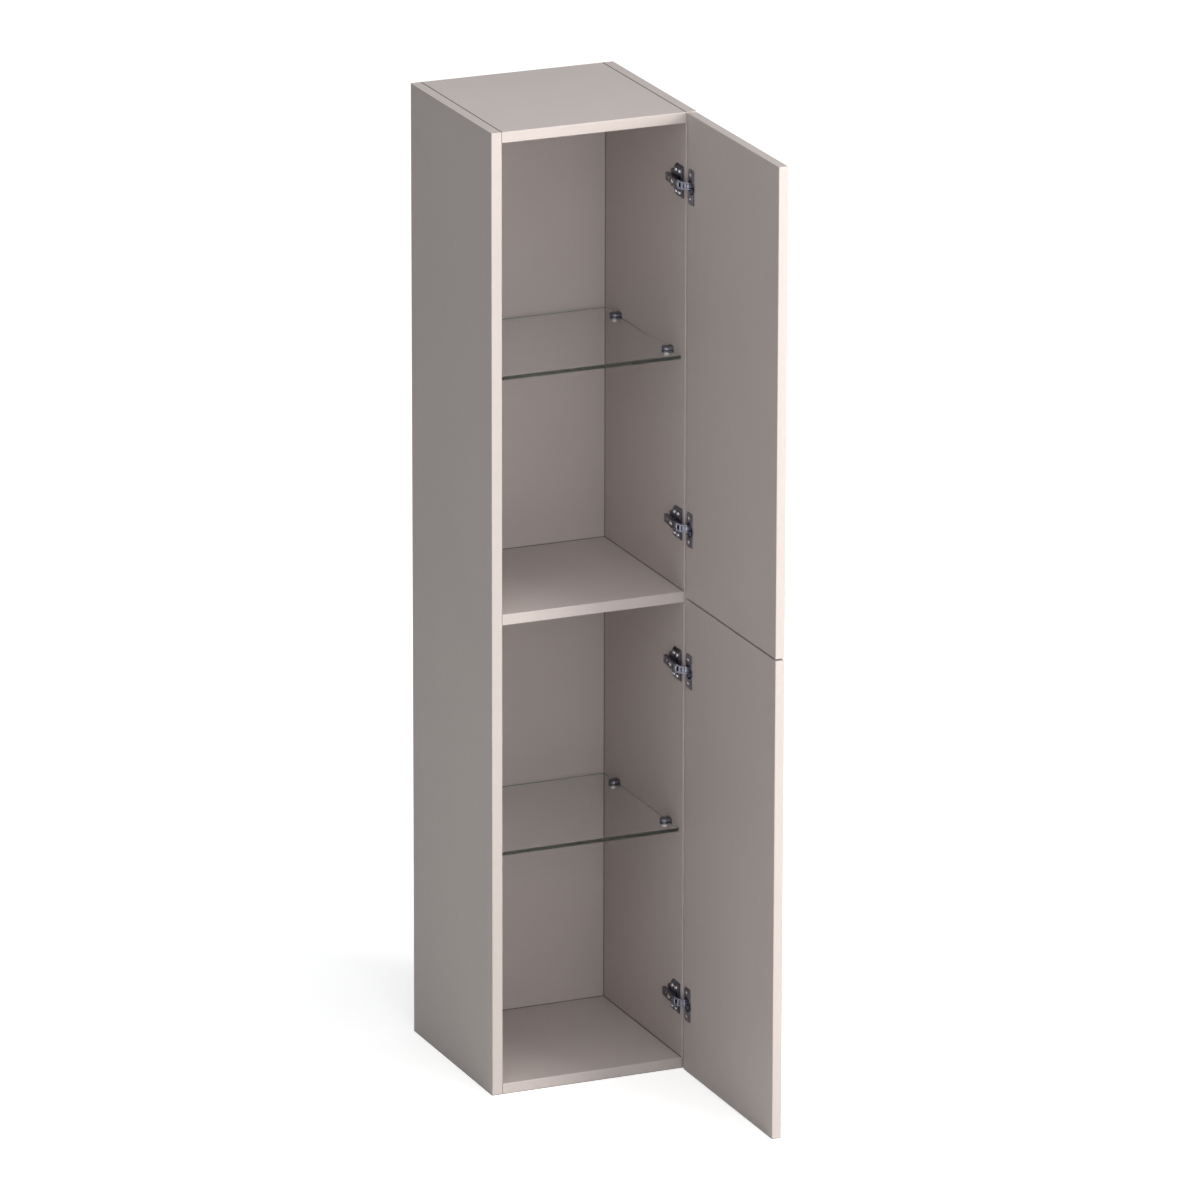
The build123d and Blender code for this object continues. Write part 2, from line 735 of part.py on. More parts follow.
def outer_link(z):
    """Tapered channel from the arm to the cup, cranked round the door's edge."""
    web_start = shifted(arm_outer_pivot, 1.3, -7.3)
    web_bend = shifted(arm_outer_pivot, 5.6, -12.2)
    web_end = shifted(cup_outer_pivot, -6.6, -0.6)
    with BuildPart() as web:
        with BuildSketch(level_plane(z)):
            outline([
                web_start,
                web_bend,
                web_end,
                shifted(web_end, 0.66 * outer_sheet, 0.75 * outer_sheet),
                shifted(web_bend, 0.7 * outer_sheet, 0.72 * outer_sheet),
                shifted(web_start, 0.74 * outer_sheet, 0.67 * outer_sheet),
            ])
        extrude(amount=outer_half_width_arm + 1, both=True)
        link_wedge(z, 0, Mode.INTERSECT)
        with BuildSketch(link_plane(z)):
            with Locations(((outer_notch_start + outer_block[1]) / 2, 0)):
                Rectangle(outer_block[1] - outer_notch_start, 2 * outer_notch_half_width)
        extrude(amount=outer_block_reach, both=True, mode=Mode.SUBTRACT)
    with BuildPart() as link:
        with BuildSketch(level_plane(z)):
            disc(arm_outer_pivot, outer_eye_arm)
            disc(cup_outer_pivot, outer_eye_cup)
            outline([
                shifted(arm_outer_pivot, -1.9, -1.1),
                shifted(arm_outer_pivot, 0.7, -3.6),
                shifted(arm_outer_pivot, 1.2, -4.0),
                shifted(arm_outer_pivot, 2.25, -4.35),
                web_start,
                web_bend,
                web_end,
                shifted(cup_outer_pivot, -0.9, -1.67),
                shifted(cup_outer_pivot, 0, 0),
                shifted(cup_outer_pivot, 0, 1.9),
                shifted(cup_outer_pivot, -7.9, 1.05),
                shifted(cup_outer_pivot, -8.3, 3.4),
                shifted(arm_outer_pivot, 1.6, 1.5),
            ])
            disc(arm_outer_pivot, pin_radius + pin_clearance, Mode.SUBTRACT)
            disc(cup_outer_pivot, pin_radius + pin_clearance, Mode.SUBTRACT)
        extrude(amount=outer_half_width_arm + 1, both=True)
        link_wedge(z, 0, Mode.INTERSECT)
        link_wedge(z, outer_sheet, Mode.SUBTRACT)
        add(web.part)
    return link


def inner_link_profile():
    """Cranked strap with an eye at each end."""
    disc(arm_inner_pivot, inner_eye_arm)
    disc(cup_inner_pivot, inner_eye_cup)
    outline([
        shifted(arm_inner_pivot, -inner_eye_arm, 0),
        shifted(arm_inner_pivot, -1.45, -1.4),
        shifted(arm_inner_pivot, -1.28, -3.16),
        shifted(arm_inner_pivot, -3.06, -5.75),
        shifted(arm_inner_pivot, -0.35, -8.8),
        shifted(arm_inner_pivot, 0.2, -10.7),
        shifted(arm_inner_pivot, 2.1, -11.9),
        shifted(cup_inner_pivot, -0.3, -1.57),
        shifted(cup_inner_pivot, 0, inner_eye_cup),
        shifted(arm_inner_pivot, 3.4, -10.25),
        shifted(arm_inner_pivot, 1.4, -10.1),
        shifted(arm_inner_pivot, 1.2, -9.0),
        shifted(arm_inner_pivot, 1.3, -3.0),
        shifted(arm_inner_pivot, inner_eye_arm, 0),
    ])
    disc(arm_inner_pivot, pin_radius + pin_clearance, Mode.SUBTRACT)
    disc(cup_inner_pivot, follower_pin_radius + pin_clearance, Mode.SUBTRACT)


def inner_link(z):
    """Strap that steers the cup, stepped narrower where it enters the cup."""
    with BuildPart() as link:
        with BuildSketch(level_plane(z)):
            inner_link_profile()
        extrude(amount=inner_half_width, both=True)
        step = inner_half_width - inner_half_width_cup
        for side in (-1, 1):
            middle = z + side * (inner_half_width + inner_half_width_cup) / 2
            with BuildSketch(level_plane(middle)):
                step_y = arm_inner_pivot[1] - inner_step_start - inner_step_block[1] / 2
                with Locations((arm_inner_pivot[0] + inner_step_block[0] / 3, step_y)):
                    Rectangle(inner_step_block[0], inner_step_block[1])
            extrude(amount=step / 2, both=True, mode=Mode.SUBTRACT)
    return link


def cup_plane(z):
    """Plane on the door's inner face at a cup: first axis to the hinge edge, second axis up."""
    return Plane(origin=(door_inner_x, cup_y, z), x_dir=(0, 1, 0), z_dir=(1, 0, 0))


def hinge_cup(z):
    """Round cup sunk in the door, with its flange and the two bosses that hold the pivots."""
    floor = open_corner[0] + cup_depth
    boss_low = cup_outer_pivot[1] - boss_below_pivot
    boss_face = cup_outer_pivot[0] - boss_above_pivot
    flange_face = open_corner[0] - flange_thickness
    far_edge = cup_y - front_y - flange_width / 2
    with BuildPart() as cup:
        with BuildSketch(cup_plane(z)) as face:
            Rectangle(flange_width, flange_height)
            fillet(face.vertices(), flange_corner)
        extrude(amount=-flange_thickness)
        with BuildSketch(level_plane(z)):
            outline([
                (flange_face, far_edge + flange_bevel_width),
                (flange_face + flange_bevel_depth, far_edge),
                (flange_face - flange_thickness, far_edge),
                (flange_face - flange_thickness, far_edge + flange_bevel_width),
            ])
        extrude(amount=flange_height, both=True, mode=Mode.SUBTRACT)
        with BuildSketch(cup_plane(z)):
            Circle(flange_bulge)
        extrude(amount=-flange_thickness)
        with BuildSketch(cup_plane(z)):
            Circle(cup_radius)
        extrude(amount=cup_depth + cup_wall)
        with BuildSketch(cup_plane(z).offset(-flange_thickness)):
            Circle(cup_radius - cup_wall)
        extrude(amount=flange_thickness + cup_depth, mode=Mode.SUBTRACT)
        with BuildSketch(cup_plane(z)):
            for half in (-1, 1):
                disc((cup_screw_offset, half * cup_screw_spread / 2), screw_hole)
        extrude(amount=-flange_thickness, mode=Mode.SUBTRACT)
        with BuildSketch(cup_plane(z).offset(-flange_thickness)):
            for half in (-1, 1):
                spot = (cup_screw_offset, half * cup_screw_spread / 2)
                disc(spot, cup_screw_head / 2 + small_clearance)
        extrude(amount=cup_screw_seat, mode=Mode.SUBTRACT)
        for half in (-1, 1):
            with BuildSketch(Plane(origin=(inner_x + boss_face, cup_y, z), x_dir=(0, 1, 0), z_dir=(1, 0, 0))):
                Circle(cup_radius - cup_wall / 2)
                with Locations((boss_low - cup_y + front_y + cup_radius, half * (boss_inner + cup_radius))):
                    Rectangle(2 * cup_radius, 2 * cup_radius, mode=Mode.INTERSECT)
            extrude(amount=floor + cup_wall / 2 - boss_face)
        with BuildSketch(level_plane(z)):
            disc(cup_outer_pivot, pin_radius + pin_clearance)
        extrude(amount=cup_pin_end, both=True, mode=Mode.SUBTRACT)
        with BuildSketch(level_plane(z)):
            for place in pin_orbit():
                disc(place, follower_pin_radius + orbit_clearance)
            make_hull()
        extrude(amount=orbit_depth, both=True, mode=Mode.SUBTRACT)
    return cup


def hinge_dampers(hinges):
    """Wedge-shaped damper in the far half of each cup."""
    far = cup_radius - cup_wall - damper_gap
    face = open_corner[0]
    start = cup_y - front_y
    with BuildPart() as dampers:
        for z in hinges:
            with BuildSketch(cup_plane(z).offset(cup_depth)):
                Circle(far)
                with Locations((-far, 0)):
                    Rectangle(2 * (far - damper_near), damper_width, mode=Mode.INTERSECT)
            extrude(amount=-cup_depth)
            with BuildSketch(level_plane(z)):
                outline([
                    (face - damper_block, start - far - damper_block),
                    (face + damper_low, start - far - damper_block),
                    (face + damper_high, start - damper_slope_end),
                    (face - damper_block, start - damper_slope_end),
                ])
            extrude(amount=damper_width, both=True, mode=Mode.SUBTRACT)
    return dampers


def arm_pins(hinges):
    """Pivot pins fixed in the arms of two hinges."""
    with BuildPart() as pins:
        for z in hinges:
            with BuildSketch(level_plane(z)):
                disc(arm_outer_pivot, pin_radius)
            extrude(amount=outer_half_width_arm + arm_pin_rise, both=True)
            with BuildSketch(level_plane(z)):
                disc(arm_inner_pivot, pin_radius)
            extrude(amount=nose_inner + nose_sheet + arm_pin_rise, both=True)
    return pins


def cup_pins(hinges):
    """Short pivot pins fixed in the bosses of two cups."""
    with BuildPart() as pins:
        for z in hinges:
            for side in (-1, 1):
                with BuildSketch(level_plane(z + side * cup_pin_start)):
                    disc(cup_outer_pivot, pin_radius)
                extrude(amount=side * (cup_pin_end - cup_pin_start))
    return pins


def follower_pins(hinges):
    """Pins fixed in the cup ends of the inner links of two hinges."""
    with BuildPart() as pins:
        for z in hinges:
            with BuildSketch(level_plane(z)):
                disc(cup_inner_pivot, follower_pin_radius)
            extrude(amount=follower_pin_half_length, both=True)
    return pins


def cup_screws(hinges):
    """Two wood screws through the flange of each cup."""
    with BuildPart() as screws:
        for z in hinges:
            for half in (-1, 1):
                spot = (cup_screw_offset, half * cup_screw_spread / 2)
                with BuildSketch(cup_plane(z).offset(cup_screw_seat - flange_thickness)):
                    disc(spot, cup_screw_head / 2)
                extrude(amount=-cup_screw_seat - cup_screw_head_rise)
                with BuildSketch(cup_plane(z).offset(cup_screw_seat - flange_thickness)):
                    disc(spot, wood_screw_shank / 2)
                extrude(amount=wood_screw_length - cup_screw_seat)
    return screws


for door_name, heights in (("upper", upper_hinges), ("lower", lower_hinges)):
    for place, hinge_z in (("bottom", heights[0]), ("top", heights[1])):
        prefix = door_name + "_door_" + place + "_hinge_"
        save(hinge_plate(hinge_z), prefix + "plate")
        save(hinge_arm(hinge_z), prefix + "arm")
        save(outer_link(hinge_z), prefix + "outer_link")
        save(inner_link(hinge_z), prefix + "inner_link")
        save(hinge_cup(hinge_z), prefix + "cup")
    save(hinge_dampers(heights), door_name + "_hinge_dampers")
    save(arm_pins(heights), door_name + "_hinge_arm_pins")
    save(cup_pins(heights), door_name + "_hinge_cup_pins")
    save(follower_pins(heights), door_name + "_hinge_follower_pins")
    save(cup_screws(heights), door_name + "_hinge_cup_screws")

with BuildPart() as hinge_plate_screws:
    for hinge_z in lower_hinges + upper_hinges:
        with BuildSketch(side_plane(hinge_z).offset(-plate_thickness)):
            for spot in plate_screws(0):
                disc(spot, wood_screw_head / 2)
        extrude(amount=-wood_screw_head_rise)
        with BuildSketch(side_plane(hinge_z).offset(-plate_thickness)):
            for spot in plate_screws(0):
                disc(spot, wood_screw_shank / 2)
        extrude(amount=wood_screw_length)
save(hinge_plate_screws, "hinge_plate_screws")

with BuildPart() as hinge_arm_screws:
    for hinge_z in lower_hinges + upper_hinges:
        adjuster_top = arm_height(adjuster_place) + adjuster_rise
        with BuildSketch(side_plane(hinge_z).offset(-adjuster_top)):
            disc((adjuster_place, 0), adjuster_diameter / 2)
        extrude(amount=adjuster_rise + arm_sheet)
        with BuildSketch(side_plane(hinge_z).offset(-adjuster_top)):
            disc((adjuster_place, 0), machine_shank / 2)
        extrude(amount=adjuster_top - machine_screw_end)
        with BuildSketch(side_plane(hinge_z).offset(-plate_thickness)):
            disc((cam_place, 0), cam_head / 2)
        extrude(amount=-cam_head_height)
        with BuildSketch(side_plane(hinge_z).offset(-plate_thickness)):
            disc((cam_place, 0), machine_shank / 2)
        extrude(amount=plate_thickness - machine_screw_end)
save(hinge_arm_screws, "hinge_arm_screws")
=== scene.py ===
"""Looks of the column cabinet: finishes, small dressed pieces, studio and camera.

Metres. The origin is the centre of the carcass underside. X runs to the right, Y to the rear
and Z up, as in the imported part.
"""

import logging
import math
from dataclasses import dataclass
from enum import Enum
from functools import cache

import bmesh
import bpy
from mathutils import Matrix, Vector


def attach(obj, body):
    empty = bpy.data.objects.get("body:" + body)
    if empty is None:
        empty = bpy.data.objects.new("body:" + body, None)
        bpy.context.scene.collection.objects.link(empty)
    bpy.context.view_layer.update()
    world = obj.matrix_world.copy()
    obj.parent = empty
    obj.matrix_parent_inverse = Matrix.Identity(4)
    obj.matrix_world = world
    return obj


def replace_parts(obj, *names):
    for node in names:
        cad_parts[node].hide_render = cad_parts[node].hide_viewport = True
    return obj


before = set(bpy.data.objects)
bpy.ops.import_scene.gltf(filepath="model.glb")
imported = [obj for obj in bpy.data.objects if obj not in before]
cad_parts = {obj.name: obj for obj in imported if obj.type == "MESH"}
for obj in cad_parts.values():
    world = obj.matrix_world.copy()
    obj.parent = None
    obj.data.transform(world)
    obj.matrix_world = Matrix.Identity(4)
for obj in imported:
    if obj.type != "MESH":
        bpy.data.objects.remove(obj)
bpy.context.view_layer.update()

LOG = logging.getLogger("column_cabinet")
MM = 0.001
Colour = tuple[float, float, float]
Place = tuple[float, float, float]


class Slot(Enum):
    """Material slots of the record."""

    CARCASS_BOARD = "carcass_board"
    DOOR_BOARD = "door_board"
    DOWEL_WOOD = "dowel_wood"
    SHELF_GLASS = "shelf_glass"
    CLAMP_CHROME = "clamp_chrome"
    CLEAR_PAD = "clear_pad"
    WHITE_PLASTIC = "white_plastic"
    DARK_PLASTIC = "dark_plastic"
    ZINC_STEEL = "zinc_steel"
    DARK_NICKEL = "dark_nickel"
    BRIGHT_NICKEL = "bright_nickel"
    PIN_STEEL = "pin_steel"
    SCREW_STEEL = "screw_steel"


class Graph:
    """Node tree with short calls that add nodes and join them.

    A Mix node has sockets of the same name for each type of data, so its colour sockets are
    known by their numbers.
    """

    COLOUR_INPUTS = (6, 7)
    COLOUR_OUTPUT = 2

    def __init__(self, tree: bpy.types.NodeTree) -> None:
        """Take over a tree.

        Args:
            tree: Node tree of a material, a world or a group.
        """
        self.tree = tree

    def node(self, kind: str, **settings: object) -> bpy.types.Node:
        """Add a node.

        Args:
            kind: Type name of the node without the words ShaderNode.
            **settings: Attributes to set on it.

        Returns:
            The new node.
        """
        made = self.tree.nodes.new("ShaderNode" + kind)
        for name, value in settings.items():
            setattr(made, name, value)
        return made

    def feed(self, socket: bpy.types.NodeSocket, value: object) -> None:
        """Join an output to a socket, or write a constant on it.

        Args:
            socket: Input socket.
            value: Output socket or constant.
        """
        if isinstance(value, bpy.types.NodeSocket):
            self.tree.links.new(value, socket)
        else:
            socket.default_value = value

    def math(self, operation: str, first: object, second: object = 0.0) -> bpy.types.NodeSocket:
        """Add a maths node.

        Args:
            operation: Name of the operation.
            first: First value.
            second: Second value.

        Returns:
            The result socket.
        """
        made = self.node("Math", operation=operation)
        self.feed(made.inputs[0], first)
        self.feed(made.inputs[1], second)
        return made.outputs[0]

    def spread(self, value: object, low: float, high: float, start: float = 0.0,
               end: float = 1.0) -> bpy.types.NodeSocket:
        """Map a value from one range to another, clamped.

        Args:
            value: Socket to map.
            low: Result at the start.
            high: Result at the end.
            start: Start of the range of the value.
            end: End of the range of the value.

        Returns:
            The mapped socket.
        """
        made = self.node("MapRange")
        self.feed(made.inputs["Value"], value)
        made.inputs["From Min"].default_value = start
        made.inputs["From Max"].default_value = end
        made.inputs["To Min"].default_value = low
        made.inputs["To Max"].default_value = high
        return made.outputs["Result"]

    def blend(self, share: object, first: object, second: object) -> bpy.types.NodeSocket:
        """Mix two colours.

        Args:
            share: Share of the second colour.
            first: First colour.
            second: Second colour.

        Returns:
            The mixed colour.
        """
        made = self.node("Mix", data_type="RGBA")
        self.feed(made.inputs[0], share)
        for place, colour in zip(self.COLOUR_INPUTS, (first, second)):
            self.feed(made.inputs[place], (*colour, 1.0) if isinstance(colour, tuple) else colour)
        return made.outputs[self.COLOUR_OUTPUT]

    def place(self) -> bpy.types.NodeSocket:
        """Place on the object, in its own axes."""
        return self.node("TexCoord").outputs["Object"]

    def facing(self) -> bpy.types.NodeSocket:
        """Direction that the surface faces."""
        return self.node("NewGeometry").outputs["Normal"]

    def split(self, vector: bpy.types.NodeSocket) -> bpy.types.Node:
        """Split a vector.

        Args:
            vector: Socket of the vector.

        Returns:
            Node with the outputs X, Y and Z.
        """
        made = self.node("SeparateXYZ")
        self.feed(made.inputs[0], vector)
        return made

    def noise(self, scale: bpy.types.NodeSocket, detail: float = 2.0,
              place: bpy.types.NodeSocket | None = None) -> bpy.types.NodeSocket:
        """Add a noise.

        Args:
            scale: Its scale.
            detail: Its finer layers.
            place: Place to read it at, or None for the place on the object.

        Returns:
            The noise, from 0 to 1.
        """
        made = self.node("TexNoise")
        made.inputs["Detail"].default_value = detail
        self.feed(made.inputs["Vector"], self.place() if place is None else place)
        self.feed(made.inputs["Scale"], scale)
        return made.outputs["Fac"]

    def relief(self, shader: bpy.types.Node, height: bpy.types.NodeSocket, strength: float,
               depth: float, normal: bpy.types.NodeSocket | None = None) -> None:
        """Give a shader a relief.

        Args:
            shader: Shader that takes it.
            height: Height of the relief.
            strength: Its strength.
            depth: Its depth.
            normal: Normal to start from, or None for the surface's own.
        """
        bump = self.node("Bump")
        bump.inputs["Strength"].default_value = strength
        bump.inputs["Distance"].default_value = depth
        self.feed(bump.inputs["Height"], height)
        if normal is not None:
            self.feed(bump.inputs["Normal"], normal)
        self.feed(shader.inputs["Normal"], bump.outputs["Normal"])

    def effect(self, name: str, **inputs: object) -> bpy.types.Node:
        """Place a shared effect.

        Args:
            name: Name of the node group.
            **inputs: Values of its inputs, with underscores for spaces.

        Returns:
            The group node.
        """
        made = self.node("Group")
        made.node_tree = bpy.data.node_groups[name]
        for socket, value in inputs.items():
            self.feed(made.inputs[socket.replace("_", " ")], value)
        return made


class EffectGraph(Graph):
    """Node group with named inputs and outputs."""

    def __init__(self, name: str, inputs: dict[str, float], outputs: dict[str, str]) -> None:
        """Start the group.

        Args:
            name: Name of the group.
            inputs: Names and defaults of its number inputs.
            outputs: Names and socket types of its outputs.
        """
        super().__init__(bpy.data.node_groups.new(name, "ShaderNodeTree"))
        ends = self.tree.interface
        for label, default in inputs.items():
            socket = ends.new_socket(label, in_out="INPUT", socket_type="NodeSocketFloat")
            socket.default_value = default
        for label, kind in outputs.items():
            ends.new_socket(label, in_out="OUTPUT", socket_type="NodeSocket" + kind)
        self.start = self.tree.nodes.new("NodeGroupInput")
        self.end = self.tree.nodes.new("NodeGroupOutput")

    def given(self, label: str) -> bpy.types.NodeSocket:
        """Input of the group with this name."""
        return self.start.outputs[label]

    def put(self, label: str, value: bpy.types.NodeSocket) -> None:
        """Put a value out.

        Args:
            label: Name of the output.
            value: Socket with the value.
        """
        self.feed(self.end.inputs[label], value)


@dataclass
class Effects:
    """Shared shader effects, each one a node group.

    The samples are those of the edges and the joints. A face is level where the upright share
    of its direction is above the limit.
    """

    samples: int = 4
    level: float = 0.6

    def build(self) -> None:
        """Make every effect once."""
        self.edge_wear_and_highlight()
        self.clouds()
        self.fine_relief()
        self.long_grain()
        self.settled_dust()
        self.painted_joint_shade()
        self.painted_seam_shade()

    def edge_wear_and_highlight(self) -> None:
        """Mask and normal of rounded edges: wear that hands and tools leave on boards, plastic and wood, and a painted
        edge highlight on metal.
        """
        graph = EffectGraph("edge_wear_and_highlight", {"Radius": 1.0 * MM, "Breakup": 60.0},
                            {"Mask": "Float", "Normal": "Vector"})
        bevel = graph.node("Bevel", samples=self.samples)
        graph.feed(bevel.inputs["Radius"], graph.given("Radius"))
        dot = graph.node("VectorMath", operation="DOT_PRODUCT")
        graph.feed(dot.inputs[0], bevel.outputs["Normal"])
        graph.feed(dot.inputs[1], graph.facing())
        bent = graph.math("SUBTRACT", 1.0, dot.outputs["Value"])
        noise = graph.noise(graph.given("Breakup"))
        broken = graph.math("MULTIPLY", graph.spread(bent, 0.0, 1.0, start=0.01, end=0.2),
                            graph.spread(noise, 0.35, 1.0, start=0.3, end=0.65))
        graph.put("Mask", broken)
        graph.put("Normal", bevel.outputs["Normal"])

    def clouds(self) -> None:
        """Slow change over a surface."""
        graph = EffectGraph("clouds", {"Scale": 4.0}, {"Value": "Float"})
        noise = graph.noise(graph.given("Scale"), detail=3.0)
        graph.put("Value", graph.spread(noise, 0.0, 1.0, start=0.25, end=0.75))

    def fine_relief(self) -> None:
        """Height of a fine pebbled skin, half noise and half cells."""
        graph = EffectGraph("fine_relief", {"Scale": 900.0}, {"Height": "Float"})
        cells = graph.node("TexVoronoi", feature="SMOOTH_F1")
        graph.feed(cells.inputs["Vector"], graph.place())
        graph.feed(cells.inputs["Scale"], graph.given("Scale"))
        noise = graph.noise(graph.given("Scale"))
        graph.put("Height", graph.math("ADD", graph.math("MULTIPLY", noise, 0.5),
                                       graph.math("MULTIPLY", cells.outputs["Distance"], 0.5)))

    def long_grain(self) -> None:
        """Streaks drawn out along one axis, as in wood and brushed metal."""
        graph = EffectGraph("long_grain", {"Across": 900.0, "X": 1.0, "Y": 1.0, "Z": 1.0},
                            {"Value": "Float"})
        stretch = graph.node("CombineXYZ")
        for label in "XYZ":
            graph.feed(stretch.inputs[label], graph.given(label))
        drawn = graph.node("VectorMath", operation="MULTIPLY")
        graph.feed(drawn.inputs[0], graph.place())
        graph.feed(drawn.inputs[1], stretch.outputs["Vector"])
        noise = graph.noise(graph.given("Across"), detail=4.0, place=drawn.outputs["Vector"])
        graph.put("Value", graph.spread(noise, 0.0, 1.0, start=0.3, end=0.7))

    def settled_dust(self) -> None:
        """Mask of thin dust on faces that look up."""
        graph = EffectGraph("settled_dust", {"Scale": 25.0}, {"Mask": "Float"})
        upward = graph.split(graph.facing()).outputs["Z"]
        noise = graph.noise(graph.given("Scale"), detail=5.0)
        graph.put("Mask", graph.math("MULTIPLY",
                                     graph.spread(upward, 0.0, 1.0, start=self.level, end=1.0),
                                     graph.spread(noise, 0.0, 1.0, start=0.45, end=0.75)))

    def painted_joint_shade(self) -> None:
        """Mask of painted shade in corners and joints, darker where other surfaces come close."""
        graph = EffectGraph("painted_joint_shade", {"Reach": 3.0 * MM}, {"Mask": "Float"})
        corner = graph.node("AmbientOcclusion", samples=self.samples)
        graph.feed(corner.inputs["Distance"], graph.given("Reach"))
        graph.put("Mask", graph.spread(corner.outputs["AO"], 1.0, 0.0, start=0.72, end=0.98))

    def painted_seam_shade(self) -> None:
        """Mask of a painted shade line along each seam between side and end boards, on faces that look up or down."""
        graph = EffectGraph("painted_seam_shade", {"Place": 157.0 * MM, "Half Width": 1.0 * MM},
                            {"Mask": "Float"})
        aside = graph.math("ABSOLUTE", graph.split(graph.place()).outputs["X"])
        off = graph.math("ABSOLUTE", graph.math("SUBTRACT", aside, graph.given("Place")))
        near = graph.math("LESS_THAN", off, graph.given("Half Width"))
        upright = graph.math("ABSOLUTE", graph.split(graph.facing()).outputs["Z"])
        level = graph.math("GREATER_THAN", upright, self.level)
        graph.put("Mask", graph.math("MULTIPLY", near, level))


def new_material(name: str) -> tuple[bpy.types.Material, Graph, bpy.types.Node]:
    """Start a material.

    Args:
        name: Name of the finish.

    Returns:
        The material, its graph and its Principled shader.
    """
    material = bpy.data.materials.new(name)
    material.use_nodes = True
    return material, Graph(material.node_tree), material.node_tree.nodes["Principled BSDF"]


def shifted(colour: Colour, gain: float, lift: float = 0.0) -> Colour:
    """Make a colour lighter or darker.

    Args:
        colour: Colour to start from.
        gain: Factor on each channel.
        lift: What is added to each channel.

    Returns:
        The new colour, with no channel above 1.
    """
    return tuple(min(1.0, channel * gain + lift) for channel in colour)


@dataclass(frozen=True)
class FoilFinish:
    """Matt foil on board, with painted shade in its joints and corners, rubbed edges and a trace of dust."""

    name: str
    base: Colour
    roughness: float = 0.5
    seam_shade: bool = False
    edge_radius: float = 1.0 * MM
    edge_breakup: float = 45.0
    edge_gain: float = 1.05
    edge_share: float = 0.45
    drift_scale: float = 3.2
    drift_gains: tuple[float, float] = (0.968, 1.035)
    mottle_scale: float = 38.0
    mottle_share: float = 0.35
    mottle_roughness: tuple[float, float] = (-0.03, 0.04)
    dust_scale: float = 18.0
    dust_gain: float = 0.5
    dust_lift: float = 0.32
    dust_share: float = 0.05
    dust_roughness: float = 0.06
    joint_shade_reach: float = 1.8 * MM
    joint_shade_gain: float = 0.24
    joint_shade_share: float = 0.95
    seam_place: float = 157.0 * MM
    seam_half_width: float = 1.2 * MM
    pebble_scale: float = 1400.0
    relief: float = 0.06
    relief_depth: float = 0.1 * MM

    def material(self) -> bpy.types.Material:
        """Make the material.

        Returns:
            The new Blender material.
        """
        material, graph, shader = new_material(self.name)
        mottle = graph.effect("clouds", Scale=self.mottle_scale).outputs["Value"]
        dust = graph.effect("settled_dust", Scale=self.dust_scale).outputs["Mask"]
        graph.feed(shader.inputs["Base Color"], self.colour(graph, mottle, dust))
        low, high = self.mottle_roughness
        rough = graph.spread(mottle, self.roughness + low, self.roughness + high)
        graph.feed(shader.inputs["Roughness"],
                   graph.math("ADD", rough, graph.math("MULTIPLY", dust, self.dust_roughness)))
        pebbles = graph.effect("fine_relief", Scale=self.pebble_scale).outputs["Height"]
        graph.relief(shader, pebbles, self.relief, self.relief_depth)
        return material

    def colour(self, graph: Graph, mottle: bpy.types.NodeSocket,
               dust: bpy.types.NodeSocket) -> bpy.types.NodeSocket:
        """Colour with its drift, wear, dust and the painted shade at joints and seam lines.

        Args:
            graph: Graph of the material.
            mottle: Fine clouds.
            dust: Mask of the dust.

        Returns:
            The colour.
        """
        dark, light = (shifted(self.base, gain) for gain in self.drift_gains)
        drift = graph.effect("clouds", Scale=self.drift_scale).outputs["Value"]
        ground = graph.blend(graph.spread(mottle, 0.0, self.mottle_share),
                             graph.blend(drift, dark, light), self.base)
        edges = graph.effect("edge_wear_and_highlight", Radius=self.edge_radius, Breakup=self.edge_breakup)
        rubbed = graph.blend(graph.math("MULTIPLY", edges.outputs["Mask"], self.edge_share),
                             ground, shifted(self.base, self.edge_gain))
        dusty = graph.blend(graph.math("MULTIPLY", dust, self.dust_share), rubbed,
                            shifted(self.base, self.dust_gain, self.dust_lift))
        # Painted shade: the foil darkens in corners and joints where other surfaces come close, and on the outer boards
        # along a line at each seam.
        joint = graph.effect("painted_joint_shade", Reach=self.joint_shade_reach).outputs["Mask"]
        if self.seam_shade:
            seam = graph.effect("painted_seam_shade", Place=self.seam_place,
                                Half_Width=self.seam_half_width).outputs["Mask"]
            joint = graph.math("MAXIMUM", joint, seam)
        return graph.blend(graph.math("MULTIPLY", joint, self.joint_shade_share), dusty,
                           shifted(self.base, self.joint_shade_gain))


